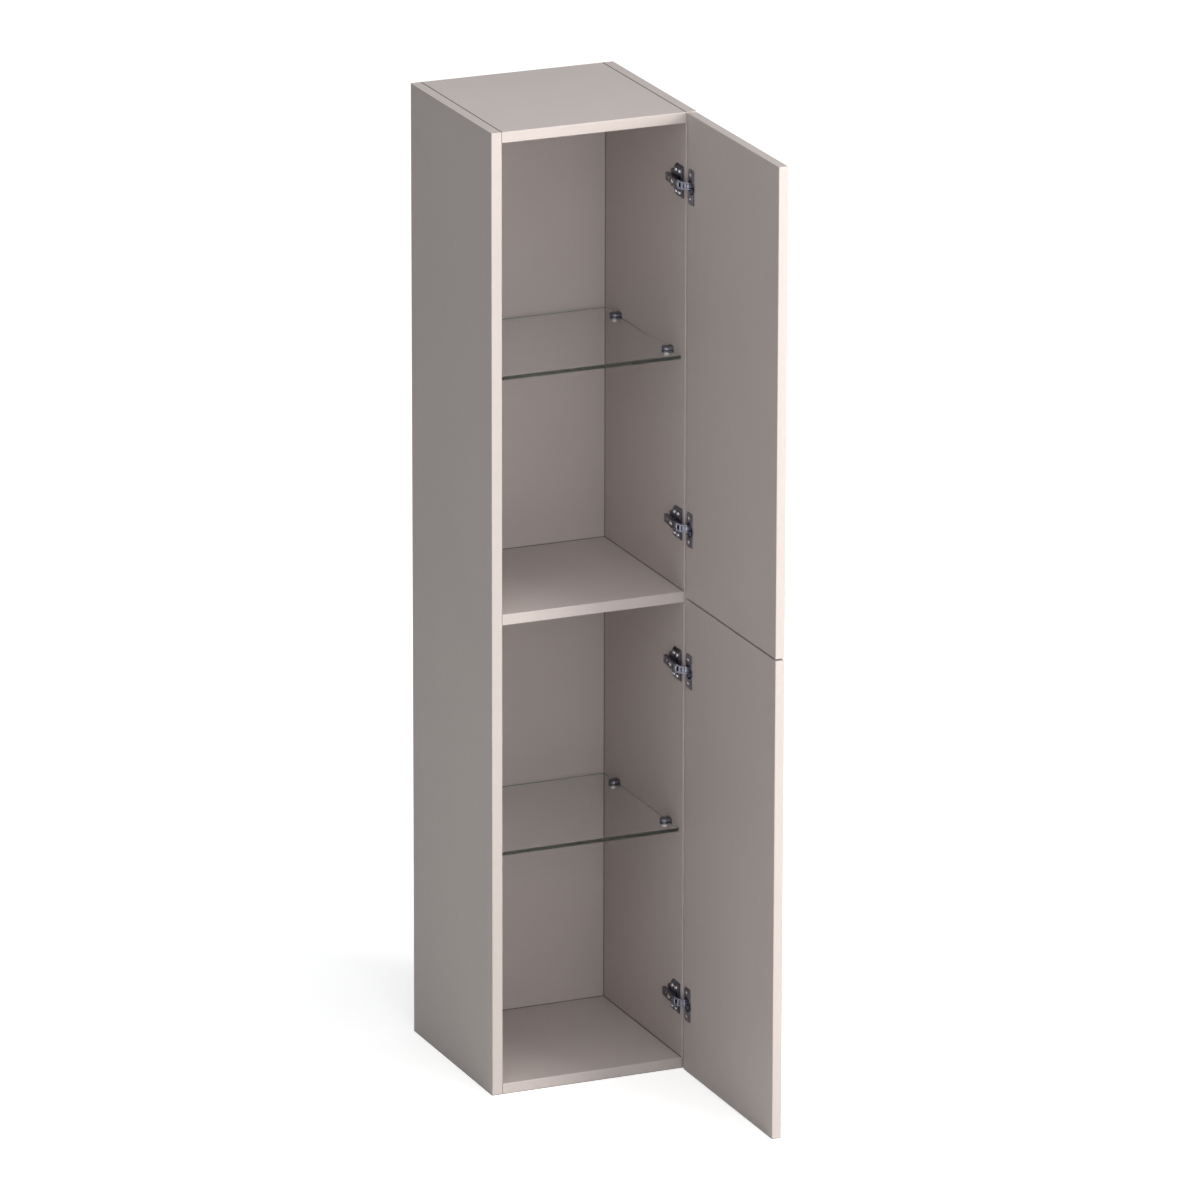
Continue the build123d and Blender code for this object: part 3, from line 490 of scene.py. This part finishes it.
@dataclass(frozen=True)
class MetalFinish:
    """Plated or polished metal, with streaks, a little tarnish and bright edges, partly wear and partly a painted
    highlight.
    """

    name: str
    base: Colour
    roughness: float
    worn_and_highlight_colour: Colour
    brush: tuple[float, float, float] = (1.0, 1.0, 1.0)
    across: float = 1200.0
    streak_factors: tuple[float, float] = (0.85, 1.2)
    edge_radius: float = 0.35 * MM
    edge_breakup: float = 420.0
    edge_share: float = 0.7
    tarnish_scale: float = 160.0
    tarnish_gain: float = 0.86
    tarnish_share: float = 0.8
    tarnish_roughness: float = 0.04
    relief: float = 0.12
    relief_depth: float = 0.05 * MM

    def material(self) -> bpy.types.Material:
        """Make the material.

        Returns:
            The new Blender material.
        """
        material, graph, shader = new_material(self.name)
        edges = graph.effect("edge_wear_and_highlight", Radius=self.edge_radius, Breakup=self.edge_breakup)
        along_x, along_y, along_z = self.brush
        streaks = graph.effect("long_grain", Across=self.across, X=along_x, Y=along_y,
                               Z=along_z).outputs["Value"]
        tarnish = graph.effect("clouds", Scale=self.tarnish_scale).outputs["Value"]
        ground = graph.blend(graph.spread(tarnish, 0.0, self.tarnish_share), self.base,
                             shifted(self.base, self.tarnish_gain))
        # Bright edges: partly wear, partly a painted highlight standing in for glints on the metal edges.
        graph.feed(shader.inputs["Base Color"],
                   graph.blend(graph.math("MULTIPLY", edges.outputs["Mask"], self.edge_share),
                               ground, self.worn_and_highlight_colour))
        shader.inputs["Metallic"].default_value = 1.0
        low, high = self.streak_factors
        rough = graph.spread(streaks, self.roughness * low, self.roughness * high)
        graph.feed(shader.inputs["Roughness"],
                   graph.math("ADD", rough,
                              graph.math("MULTIPLY", tarnish, self.tarnish_roughness)))
        graph.relief(shader, streaks, self.relief, self.relief_depth, edges.outputs["Normal"])
        return material


@dataclass(frozen=True)
class PlasticFinish:
    """Moulded plastic or soft pad."""

    name: str
    base: Colour
    roughness: float
    roughness_swing: float = 0.05
    mottle_scale: float = 90.0
    dark_gain: float = 0.94
    pale_gain: float = 1.08
    pale_lift: float = 0.004
    edge_radius: float = 0.4 * MM
    edge_breakup: float = 200.0
    edge_gain: float = 1.2
    edge_lift: float = 0.02
    edge_share: float = 0.5
    pebble_scale: float = 2500.0
    relief: float = 0.15
    relief_depth: float = 0.05 * MM

    def material(self) -> bpy.types.Material:
        """Make the material.

        Returns:
            The new Blender material.
        """
        material, graph, shader = new_material(self.name)
        edges = graph.effect("edge_wear_and_highlight", Radius=self.edge_radius, Breakup=self.edge_breakup)
        mottle = graph.effect("clouds", Scale=self.mottle_scale).outputs["Value"]
        ground = graph.blend(mottle, shifted(self.base, self.dark_gain),
                             shifted(self.base, self.pale_gain, self.pale_lift))
        graph.feed(shader.inputs["Base Color"],
                   graph.blend(graph.math("MULTIPLY", edges.outputs["Mask"], self.edge_share),
                               ground, shifted(self.base, self.edge_gain, self.edge_lift)))
        graph.feed(shader.inputs["Roughness"],
                   graph.spread(mottle, self.roughness - self.roughness_swing,
                                self.roughness + self.roughness_swing))
        pebbles = graph.effect("fine_relief", Scale=self.pebble_scale).outputs["Height"]
        graph.relief(shader, pebbles, self.relief, self.relief_depth, edges.outputs["Normal"])
        return material


@dataclass(frozen=True)
class WoodFinish:
    """Plain turned wood with its grain along X."""

    name: str
    early: Colour
    late: Colour
    roughness: tuple[float, float] = (0.5, 0.68)
    grain_across: float = 700.0
    grain_along: float = 0.06
    edge_radius: float = 0.4 * MM
    edge_breakup: float = 150.0
    edge_share: float = 0.3
    relief: float = 0.3
    relief_depth: float = 0.1 * MM

    def material(self) -> bpy.types.Material:
        """Make the material.

        Returns:
            The new Blender material.
        """
        material, graph, shader = new_material(self.name)
        grain = graph.effect("long_grain", Across=self.grain_across,
                             X=self.grain_along).outputs["Value"]
        edges = graph.effect("edge_wear_and_highlight", Radius=self.edge_radius, Breakup=self.edge_breakup)
        graph.feed(shader.inputs["Base Color"],
                   graph.blend(graph.math("MULTIPLY", edges.outputs["Mask"], self.edge_share),
                               graph.blend(grain, self.late, self.early), self.early))
        graph.feed(shader.inputs["Roughness"], graph.spread(grain, *self.roughness))
        graph.relief(shader, grain, self.relief, self.relief_depth)
        return material


@dataclass(frozen=True)
class GlassFinish:
    """Clear float glass, greener where light runs along the plate, with ground edges and a painted shade on the rear
    edge.

    The half width, the front and the rear are the places of its edge faces on the object.
    """

    name: str
    half_width: float
    front: float
    rear: float
    edge_colour: Colour = (0.82, 1.0, 0.83)
    rear_edge_shade_colour: Colour = (0.24, 0.34, 0.27)
    side_colour: Colour = (0.62, 0.70, 0.66)
    clear_colour: Colour = (0.975, 0.992, 0.985)
    rim_start: float = 0.3 * MM
    rim_end: float = 0.7 * MM
    rim_roughness: float = 0.8
    refraction: float = 1.5
    smear_scale: float = 9.0
    smear_gain: float = 0.985
    smear_share: float = 0.25
    smear_roughness: float = 0.02
    relief: float = 0.02
    relief_depth: float = 0.05 * MM

    def material(self) -> bpy.types.Material:
        """Make the material.

        Returns:
            The new Blender material.
        """
        material, graph, shader = new_material(self.name)
        where = graph.split(graph.place()).outputs
        aside = graph.math("ABSOLUTE", where["X"])
        side_rim = self.rim(graph, graph.math("SUBTRACT", self.half_width, aside))
        front_rim = self.rim(graph, graph.math("SUBTRACT", where["Y"], self.front))
        rear_rim = self.rim(graph, graph.math("SUBTRACT", self.rear, where["Y"]))
        rim = graph.math("MAXIMUM", rear_rim, front_rim)
        smear = graph.effect("clouds", Scale=self.smear_scale).outputs["Value"]
        body = graph.blend(graph.spread(smear, 0.0, self.smear_share), self.clear_colour,
                           shifted(self.clear_colour, self.smear_gain))
        sided = graph.blend(side_rim, body, self.side_colour)
        # The rear edge face takes a darker tint, a painted shade; the front edge keeps the light green of the glass.
        edge = graph.blend(rear_rim, self.edge_colour, self.rear_edge_shade_colour)
        graph.feed(shader.inputs["Base Color"], graph.blend(rim, sided, edge))
        shader.inputs["Transmission Weight"].default_value = 1.0
        shader.inputs["IOR"].default_value = self.refraction
        polish = graph.spread(smear, 0.0, self.smear_roughness)
        graph.feed(shader.inputs["Roughness"],
                   graph.math("ADD", polish, graph.math("MULTIPLY", rim, self.rim_roughness)))
        graph.relief(shader, smear, self.relief, self.relief_depth)
        return material

    def rim(self, graph: Graph, inwards: bpy.types.NodeSocket) -> bpy.types.NodeSocket:
        """Mask of an edge face.

        Args:
            graph: Graph of the material.
            inwards: Distance from the edge face.

        Returns:
            Mask that is 1 on the face and 0 a little way in.
        """
        return graph.spread(inwards, 1.0, 0.0, start=self.rim_start, end=self.rim_end)


TAUPE: Colour = (0.50, 0.445, 0.43)
BRUSHED_ALONG_Y = (1.0, 0.05, 1.0)
BRUSHED_ALONG_Z = (1.0, 1.0, 0.05)
FOIL = FoilFinish("taupe_foil", TAUPE)
# The outer boards also take a painted shade line at each seam with the end boards.
SEAM_SHADED_FOIL = FoilFinish("taupe_foil_with_seam_shade", TAUPE, seam_shade=True)
DOOR_FOIL = FoilFinish("taupe_door_foil", TAUPE, roughness=0.48)
BEECH = WoodFinish("beech_dowel", early=(0.62, 0.45, 0.27), late=(0.45, 0.29, 0.15))
GLASS = GlassFinish("shelf_float_glass", half_width=0.155, front=-0.155, rear=0.147)
CHROME = MetalFinish("clamp_plating", (0.22, 0.22, 0.265), 0.36, (0.36, 0.36, 0.42))
PAD = PlasticFinish("soft_clear_pad", (0.75, 0.75, 0.74), 0.3)
WHITE = PlasticFinish("white_moulded_plastic", (0.94, 0.94, 0.95), 0.28)
DARK = PlasticFinish("dark_moulded_plastic", (0.05, 0.05, 0.055), 0.4)
ZINC = MetalFinish("zinc_plate", (0.62, 0.62, 0.60), 0.34, (0.78, 0.78, 0.76))
ARM_NICKEL = MetalFinish("arm_nickel", (0.185, 0.20, 0.245), 0.26, (0.60, 0.62, 0.68),
                         brush=BRUSHED_ALONG_Y)
# Plate, links and cup are one bright nickel; each copy has its base darkened to its own level, a painted shade for how
# light falls on that part.
PLATE_NICKEL_PAINTED_SHADE = MetalFinish("plate_nickel_painted_shade", (0.175, 0.185, 0.23), 0.26, (0.75, 0.77, 0.82),
                           brush=BRUSHED_ALONG_Z)
OUTER_LINK_NICKEL_PAINTED_SHADE = MetalFinish("outer_link_nickel_painted_shade", (0.26, 0.262, 0.325), 0.38,
                                (0.50, 0.51, 0.57), brush=BRUSHED_ALONG_Z)
INNER_LINK_NICKEL_PAINTED_SHADE = MetalFinish("inner_link_nickel_painted_shade", (0.31, 0.315, 0.39), 0.38,
                                (0.50, 0.51, 0.57), brush=BRUSHED_ALONG_Z)
CUP_NICKEL_PAINTED_SHADE = MetalFinish("cup_nickel_painted_shade", (0.36, 0.375, 0.45), 0.26, (0.80, 0.82, 0.88),
                         brush=BRUSHED_ALONG_Z)
PIN_STEEL = MetalFinish("turned_pin_steel", (0.55, 0.55, 0.55), 0.3, (0.75, 0.75, 0.75))
SCREW_STEEL = MetalFinish("screw_zinc", (0.80, 0.80, 0.82), 0.16, (0.95, 0.95, 0.95))
Finish = FoilFinish | MetalFinish | PlasticFinish | WoodFinish | GlassFinish


@cache
def coat(finish: Finish) -> bpy.types.Material:
    """Material of a finish, made at its first use.

    Args:
        finish: The finish.

    Returns:
        Its material.
    """
    return finish.material()


def dress(node: str, finish: Finish) -> None:
    """Give a CAD node its finish.

    Args:
        node: Name of the node.
        finish: Its finish.
    """
    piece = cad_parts[node]
    piece.data.materials.clear()
    piece.data.materials.append(coat(finish))
    LOG.info("dressed %s with %s", node, finish.name)


def finished(name: str, mesh: bmesh.types.BMesh, finish: Finish, body: str) -> bpy.types.Object:
    """Turn a bmesh into a finished piece that rides on a body.

    Args:
        name: Name of the piece.
        mesh: Its shape, already in place.
        finish: Its finish.
        body: CAD body that it moves with.

    Returns:
        The new object.
    """
    bmesh.ops.recalc_face_normals(mesh, faces=mesh.faces)
    data = bpy.data.meshes.new(name)
    mesh.to_mesh(data)
    mesh.free()
    data.materials.append(coat(finish))
    piece = bpy.data.objects.new(name, data)
    bpy.context.scene.collection.objects.link(piece)
    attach(piece, body)
    LOG.info("built %s with %d faces", name, len(data.polygons))
    return piece


@dataclass(frozen=True)
class Screw:
    """Turned screw with a cross in its domed head.

    It is made along Z, with the underside of its head at zero. The points of the dome and the
    sizes of the cross are shares of the radius of the head and of its rise.
    """

    head: float
    rise: float
    shank: float
    length: float
    dome: tuple[tuple[float, float], ...] = (
        (0.66, 1.0), (0.84, 0.9), (0.96, 0.6), (1.0, 0.25), (1.0, 0.0))
    cross_half: float = 0.13
    cross_reach: float = 0.5
    cross_depth: float = 0.75
    cross_taper: float = 0.8
    head_steps: int = 24
    shank_sides: int = 12
    snap: float = 1e-7

    def add(self, mesh: bmesh.types.BMesh, place: Place) -> None:
        """Add one screw to a mesh, with its head to the left.

        Args:
            mesh: Mesh that takes the screw. Its other shells are closed.
            place: Place of the underside of its head.
        """
        others = set(mesh.verts)
        radius = self.head / 2
        points = [mesh.verts.new((radius * x, 0.0, self.rise * z)) for x, z in self.dome]
        outline = [mesh.edges.new(pair) for pair in zip(points, points[1:])]
        bmesh.ops.spin(mesh, geom=points + outline, axis=(0, 0, 1), cent=(0, 0, 0),
                       steps=self.head_steps, angle=math.tau, use_merge=True)
        rims = [edge for edge in mesh.edges if edge.is_boundary]
        caps = bmesh.ops.edgeloop_fill(mesh, edges=rims)["faces"]
        self.press(mesh, max(caps, key=lambda face: face.calc_center_median().z))
        shank = bmesh.ops.create_cone(mesh, cap_ends=True, segments=self.shank_sides,
                                      radius1=self.shank / 2, radius2=self.shank / 2,
                                      depth=self.length)["verts"]
        bmesh.ops.translate(mesh, verts=shank, vec=(0, 0, -self.length / 2))
        to_left = Matrix.Translation(Vector(place)) @ Matrix.Rotation(-math.pi / 2, 4, "Y")
        bmesh.ops.transform(mesh, matrix=to_left,
                            verts=[vert for vert in mesh.verts if vert not in others])

    def press(self, mesh: bmesh.types.BMesh, top: bmesh.types.BMFace) -> None:
        """Press the cross into the top face.

        Args:
            mesh: Mesh of the head.
            top: Flat face on top of the head.
        """
        half = self.cross_half * self.head / 2
        reach = self.cross_reach * self.head / 2
        cuts = [(offset, 0.0) for offset in (half, -half, reach, -reach)]
        cuts += [(y, x) for x, y in cuts]
        parts = [top, *top.edges, *top.verts]
        for x, y in cuts:
            parts = bmesh.ops.bisect_plane(mesh, geom=parts, dist=self.snap,
                                           plane_co=(x, y, self.rise),
                                           plane_no=(x, y, 0.0))["geom"]
        cross = []
        for face in (item for item in parts if isinstance(item, bmesh.types.BMFace)):
            middle = face.calc_center_median()
            near, far = sorted((abs(middle.x), abs(middle.y)))
            if near < half and far < reach:
                cross.append(face)
        sunk = bmesh.ops.extrude_face_region(mesh, geom=cross)["geom"]
        bmesh.ops.delete(mesh, geom=cross, context="FACES_ONLY")
        low = [item for item in sunk if isinstance(item, bmesh.types.BMVert)]
        bmesh.ops.translate(mesh, verts=low, vec=(0, 0, -self.cross_depth * self.rise))
        bmesh.ops.scale(mesh, verts=low, vec=(self.cross_taper, self.cross_taper, 1.0))


@dataclass
class Carcass:
    """Sides, boards, back and dowels."""

    outer: tuple[str, ...] = ("left_side_panel", "right_side_panel", "top_panel", "bottom_panel")
    inner: tuple[str, ...] = ("middle_shelf", "back_panel")

    def build(self) -> None:
        """Dress the boards and the dowels."""
        for node in self.outer:
            dress(node, SEAM_SHADED_FOIL)
        for node in self.inner:
            dress(node, FOIL)
        dress("carcass_dowels", BEECH)


@dataclass
class Doors:
    """The two doors."""

    leaves: tuple[str, ...] = ("upper_door", "lower_door")

    def build(self) -> None:
        """Dress the doors."""
        for node in self.leaves:
            dress(node, DOOR_FOIL)


@dataclass
class GlassShelves:
    """Glass plates, their clamps, pads and screws."""

    halves: tuple[str, ...] = ("upper", "lower")

    def build(self) -> None:
        """Dress the glass and the clamps."""
        for half in self.halves:
            dress(half + "_glass_shelf", GLASS)
            dress(half + "_shelf_clamps", CHROME)
            dress(half + "_shelf_pads", PAD)
            dress(half + "_shelf_screws", WHITE)


@dataclass
class WallHangers:
    """Hanger housings, their hooks and adjusting screws."""

    sides: tuple[str, ...] = ("left", "right")

    def build(self) -> None:
        """Dress the hangers."""
        for side in self.sides:
            dress(side + "_wall_hanger", WHITE)
            dress(side + "_hanger_hook", ZINC)
        dress("hanger_adjusting_screws", ZINC)


@dataclass
class Hinges:
    """Four concealed hinges with cross-recessed screws.

    A seat is how far the underside of a screw's head stands off the panel or the door. A row is
    its distance from the front edge of the panel, and a lift its distance from the middle of
    the hinge.
    """

    heights: tuple[tuple[str, tuple[float, float]], ...] = (
        ("upper", (0.9175, 1.4825)), ("lower", (0.116, 0.681)))
    panel_x: float = 0.157
    panel_y: float = -0.166
    door_x: float = 0.157197
    plate_screw: Screw = Screw(head=6.6 * MM, rise=1.4 * MM, shank=3.4 * MM, length=12 * MM)
    plate_seat: float = 4 * MM
    plate_rows: tuple[float, float] = (15.5 * MM, 29.1 * MM)
    plate_lift: float = 17.3 * MM
    adjuster: Screw = Screw(head=8.0 * MM, rise=2.0 * MM, shank=3.6 * MM, length=9.9 * MM)
    adjuster_seat: float = 10.943 * MM
    adjuster_row: float = 26 * MM
    cam: Screw = Screw(head=5.6 * MM, rise=3.5 * MM, shank=3.6 * MM, length=3.0 * MM)
    cam_seat: float = 4 * MM
    cam_row: float = 43 * MM
    cup_screw: Screw = Screw(head=6.2 * MM, rise=1.1 * MM, shank=3.4 * MM, length=11.2 * MM)
    cup_seat: float = 0.4 * MM
    cup_row: float = -20.0 * MM
    cup_lift: float = 19.85 * MM

    def build(self) -> None:
        """Dress the hinge nodes and put pressed heads on the screws."""
        for half, _ in self.heights:
            for end in ("top", "bottom"):
                prefix = half + "_door_" + end + "_hinge_"
                dress(prefix + "arm", ARM_NICKEL)
                dress(prefix + "plate", PLATE_NICKEL_PAINTED_SHADE)
                dress(prefix + "cup", CUP_NICKEL_PAINTED_SHADE)
                dress(prefix + "outer_link", OUTER_LINK_NICKEL_PAINTED_SHADE)
                dress(prefix + "inner_link", INNER_LINK_NICKEL_PAINTED_SHADE)
            for pins in ("arm_pins", "cup_pins", "follower_pins"):
                dress(half + "_hinge_" + pins, PIN_STEEL)
            dress(half + "_hinge_dampers", DARK)
        self.plate_screws()
        self.arm_screws()
        self.cup_screws()

    def all_heights(self) -> list[float]:
        """Heights of the four hinges."""
        return [height for _, pair in self.heights for height in pair]

    def plate_screws(self) -> None:
        """Screws that hold the plates."""
        mesh = bmesh.new()
        x = self.panel_x - self.plate_seat
        for height in self.all_heights():
            for row in self.plate_rows:
                for lift in (-self.plate_lift, self.plate_lift):
                    self.plate_screw.add(mesh, (x, self.panel_y + row, height + lift))
        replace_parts(finished("plate_screws", mesh, SCREW_STEEL, "cabinet"),
                    "hinge_plate_screws")

    def arm_screws(self) -> None:
        """Adjusting screws of the arms and cam screws in their windows."""
        mesh = bmesh.new()
        adjuster_x, adjuster_y = self.panel_x - self.adjuster_seat, self.panel_y + self.adjuster_row
        cam_x, cam_y = self.panel_x - self.cam_seat, self.panel_y + self.cam_row
        for height in self.all_heights():
            self.adjuster.add(mesh, (adjuster_x, adjuster_y, height))
            self.cam.add(mesh, (cam_x, cam_y, height))
        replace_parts(finished("arm_screws", mesh, SCREW_STEEL, "cabinet"),
                    "hinge_arm_screws")

    def cup_screws(self) -> None:
        """Screws in the flanges of the cups."""
        x, y = self.door_x - self.cup_seat, self.panel_y + self.cup_row
        for half, heights in self.heights:
            mesh = bmesh.new()
            for height in heights:
                for lift in (-self.cup_lift, self.cup_lift):
                    self.cup_screw.add(mesh, (x, y, height + lift))
            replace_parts(finished(half + "_cup_screws", mesh, SCREW_STEEL, half + "_door"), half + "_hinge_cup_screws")


@dataclass(frozen=True)
class SoftBox:
    """Soft lamp, placed by its direction from the object."""

    name: str
    azimuth: float
    elevation: float
    distance: float
    width: float
    height: float
    power: float
    colour: Colour = (1.0, 1.0, 1.0)


@dataclass
class Studio:
    """Floor, world, lamps and the camera."""

    target: Place = (0.0, -0.15, 0.85)
    camera_place: Place = (-6.295461, -14.793338, 5.89594)
    camera_yaw: float = 23.324
    camera_pitch: float = 17.698
    camera_roll: float = 0.118
    camera_lens: float = 315.604
    camera_sensor: float = 36.0
    camera_clip: tuple[float, float] = (1.0, 200.0)
    world_strength: float = 0.222
    world_colour: Colour = (0.95, 1.0, 0.99)
    backdrop_strength: float = 1.0
    backdrop_colour: Colour = (1.0, 1.0, 1.0)
    floor_half: float = 60.0
    floor_colour: Colour = (0.82, 0.82, 0.82)
    floor_roughness: float = 0.9
    floor_glow: float = 0.85
    near_glow: float = 0.55
    near_reach: tuple[float, float] = (0.4, 2.0)
    front_reach: tuple[float, float] = (-1.0, -0.5)
    lamps: tuple[SoftBox, ...] = (
        SoftBox("key_box", 33.0, 18.0, 5.0, 2.0, 2.2, 200.0, (1.0, 0.952, 0.885)),
        SoftBox("front_fill", -8.0, 12.0, 6.0, 3.0, 3.0, 55.0),
        SoftBox("high_front", 10.0, 50.0, 5.0, 3.0, 3.0, 55.0),
        SoftBox("top_box", 0.0, 88.0, 4.0, 3.0, 3.0, 58.0),
        SoftBox("low_front", 20.0, 4.0, 5.0, 3.0, 2.0, 30.0),
        SoftBox("left_box", -35.0, 35.0, 5.0, 3.0, 3.0, 35.0),
    )

    def build(self) -> None:
        """Make the whole studio."""
        self.floor()
        self.world()
        for lamp in self.lamps:
            self.lamp(lamp)
        self.camera()
        settings = bpy.context.scene.view_settings
        settings.view_transform = "Standard"

    def floor(self) -> None:
        """Make the floor as one large sheet of paper."""
        mesh = bmesh.new()
        bmesh.ops.create_grid(mesh, x_segments=1, y_segments=1, size=self.floor_half)
        data = bpy.data.meshes.new("studio_floor")
        mesh.to_mesh(data)
        mesh.free()
        data.materials.append(self.paper())
        floor = bpy.data.objects.new("studio_floor", data)
        bpy.context.scene.collection.objects.link(floor)

    def paper(self) -> bpy.types.Material:
        """Pale paper that keeps the shadow and glows for the camera.

        The glow is weaker near the object, where a faint shadow shows. Metal mirrors the glow
        of the part in front of the object.

        Returns:
            The material.
        """
        material, graph, shader = new_material("studio_paper")
        shader.inputs["Base Color"].default_value = (*self.floor_colour, 1.0)
        shader.inputs["Roughness"].default_value = self.floor_roughness
        rays = graph.node("LightPath")
        place = graph.place()
        in_front = graph.spread(graph.split(place).outputs["Y"], self.floor_glow, 0.0,
                                *self.front_reach)
        mirrored = graph.math("MULTIPLY", rays.outputs["Is Glossy Ray"], in_front)
        distance = graph.node("VectorMath", operation="LENGTH")
        graph.feed(distance.inputs[0], place)
        around = graph.spread(distance.outputs["Value"], self.near_glow, self.floor_glow,
                              *self.near_reach)
        seen = graph.math("MULTIPLY", rays.outputs["Is Camera Ray"], around)
        glow = graph.node("Emission")
        graph.feed(glow.inputs["Strength"], graph.math("MAXIMUM", seen, mirrored))
        both = graph.node("AddShader")
        graph.feed(both.inputs[0], shader.outputs["BSDF"])
        graph.feed(both.inputs[1], glow.outputs["Emission"])
        output = material.node_tree.nodes["Material Output"]
        graph.feed(output.inputs["Surface"], both.outputs["Shader"])
        return material

    def world(self) -> None:
        """Soft even light, with a white backdrop behind the object."""
        world = bpy.data.worlds.new("studio_world")
        world.use_nodes = True
        bpy.context.scene.world = world
        graph = Graph(world.node_tree)
        backdrop = world.node_tree.nodes["Background"]
        seen = graph.node("LightPath").outputs["Is Camera Ray"]
        graph.feed(backdrop.inputs["Strength"],
                   graph.spread(seen, self.world_strength, self.backdrop_strength))
        graph.feed(backdrop.inputs["Color"],
                   graph.blend(seen, self.world_colour, self.backdrop_colour))

    def lamp(self, box: SoftBox) -> None:
        """Place one soft lamp that looks at the object.

        Args:
            box: The lamp.
        """
        azimuth, elevation = math.radians(box.azimuth), math.radians(box.elevation)
        away = Vector((math.sin(azimuth) * math.cos(elevation),
                       -math.cos(azimuth) * math.cos(elevation), math.sin(elevation)))
        data = bpy.data.lights.new(box.name, "AREA")
        data.shape = "RECTANGLE"
        data.size, data.size_y = box.width, box.height
        data.energy = box.power
        data.color = box.colour
        lamp = bpy.data.objects.new(box.name, data)
        lamp.location = Vector(self.target) + away * box.distance
        lamp.rotation_mode = "QUATERNION"
        lamp.rotation_quaternion = (-away).to_track_quat("-Z", "Y")
        bpy.context.scene.collection.objects.link(lamp)

    def camera(self) -> None:
        """Camera at the viewing angle of the photograph."""
        data = bpy.data.cameras.new("photo_camera")
        data.sensor_width = self.camera_sensor
        data.lens = self.camera_lens
        data.clip_start, data.clip_end = self.camera_clip
        camera = bpy.data.objects.new("photo_camera", data)
        yaw = Matrix.Rotation(math.radians(-self.camera_yaw), 4, "Z")
        pitch = Matrix.Rotation(math.radians(90.0 - self.camera_pitch), 4, "X")
        roll = Matrix.Rotation(math.radians(self.camera_roll), 4, "Z")
        camera.matrix_world = Matrix.Translation(Vector(self.camera_place)) @ yaw @ pitch @ roll
        bpy.context.scene.collection.objects.link(camera)
        bpy.context.scene.camera = camera


def main() -> None:
    """Build every sub-assembly and the studio."""
    logging.basicConfig(level=logging.INFO, format="%(name)s: %(message)s")
    Effects().build()
    for assembly in (Carcass(), Doors(), GlassShelves(), WallHangers(), Hinges()):
        assembly.build()
    Studio().build()


if __name__ == "__main__":
    main()
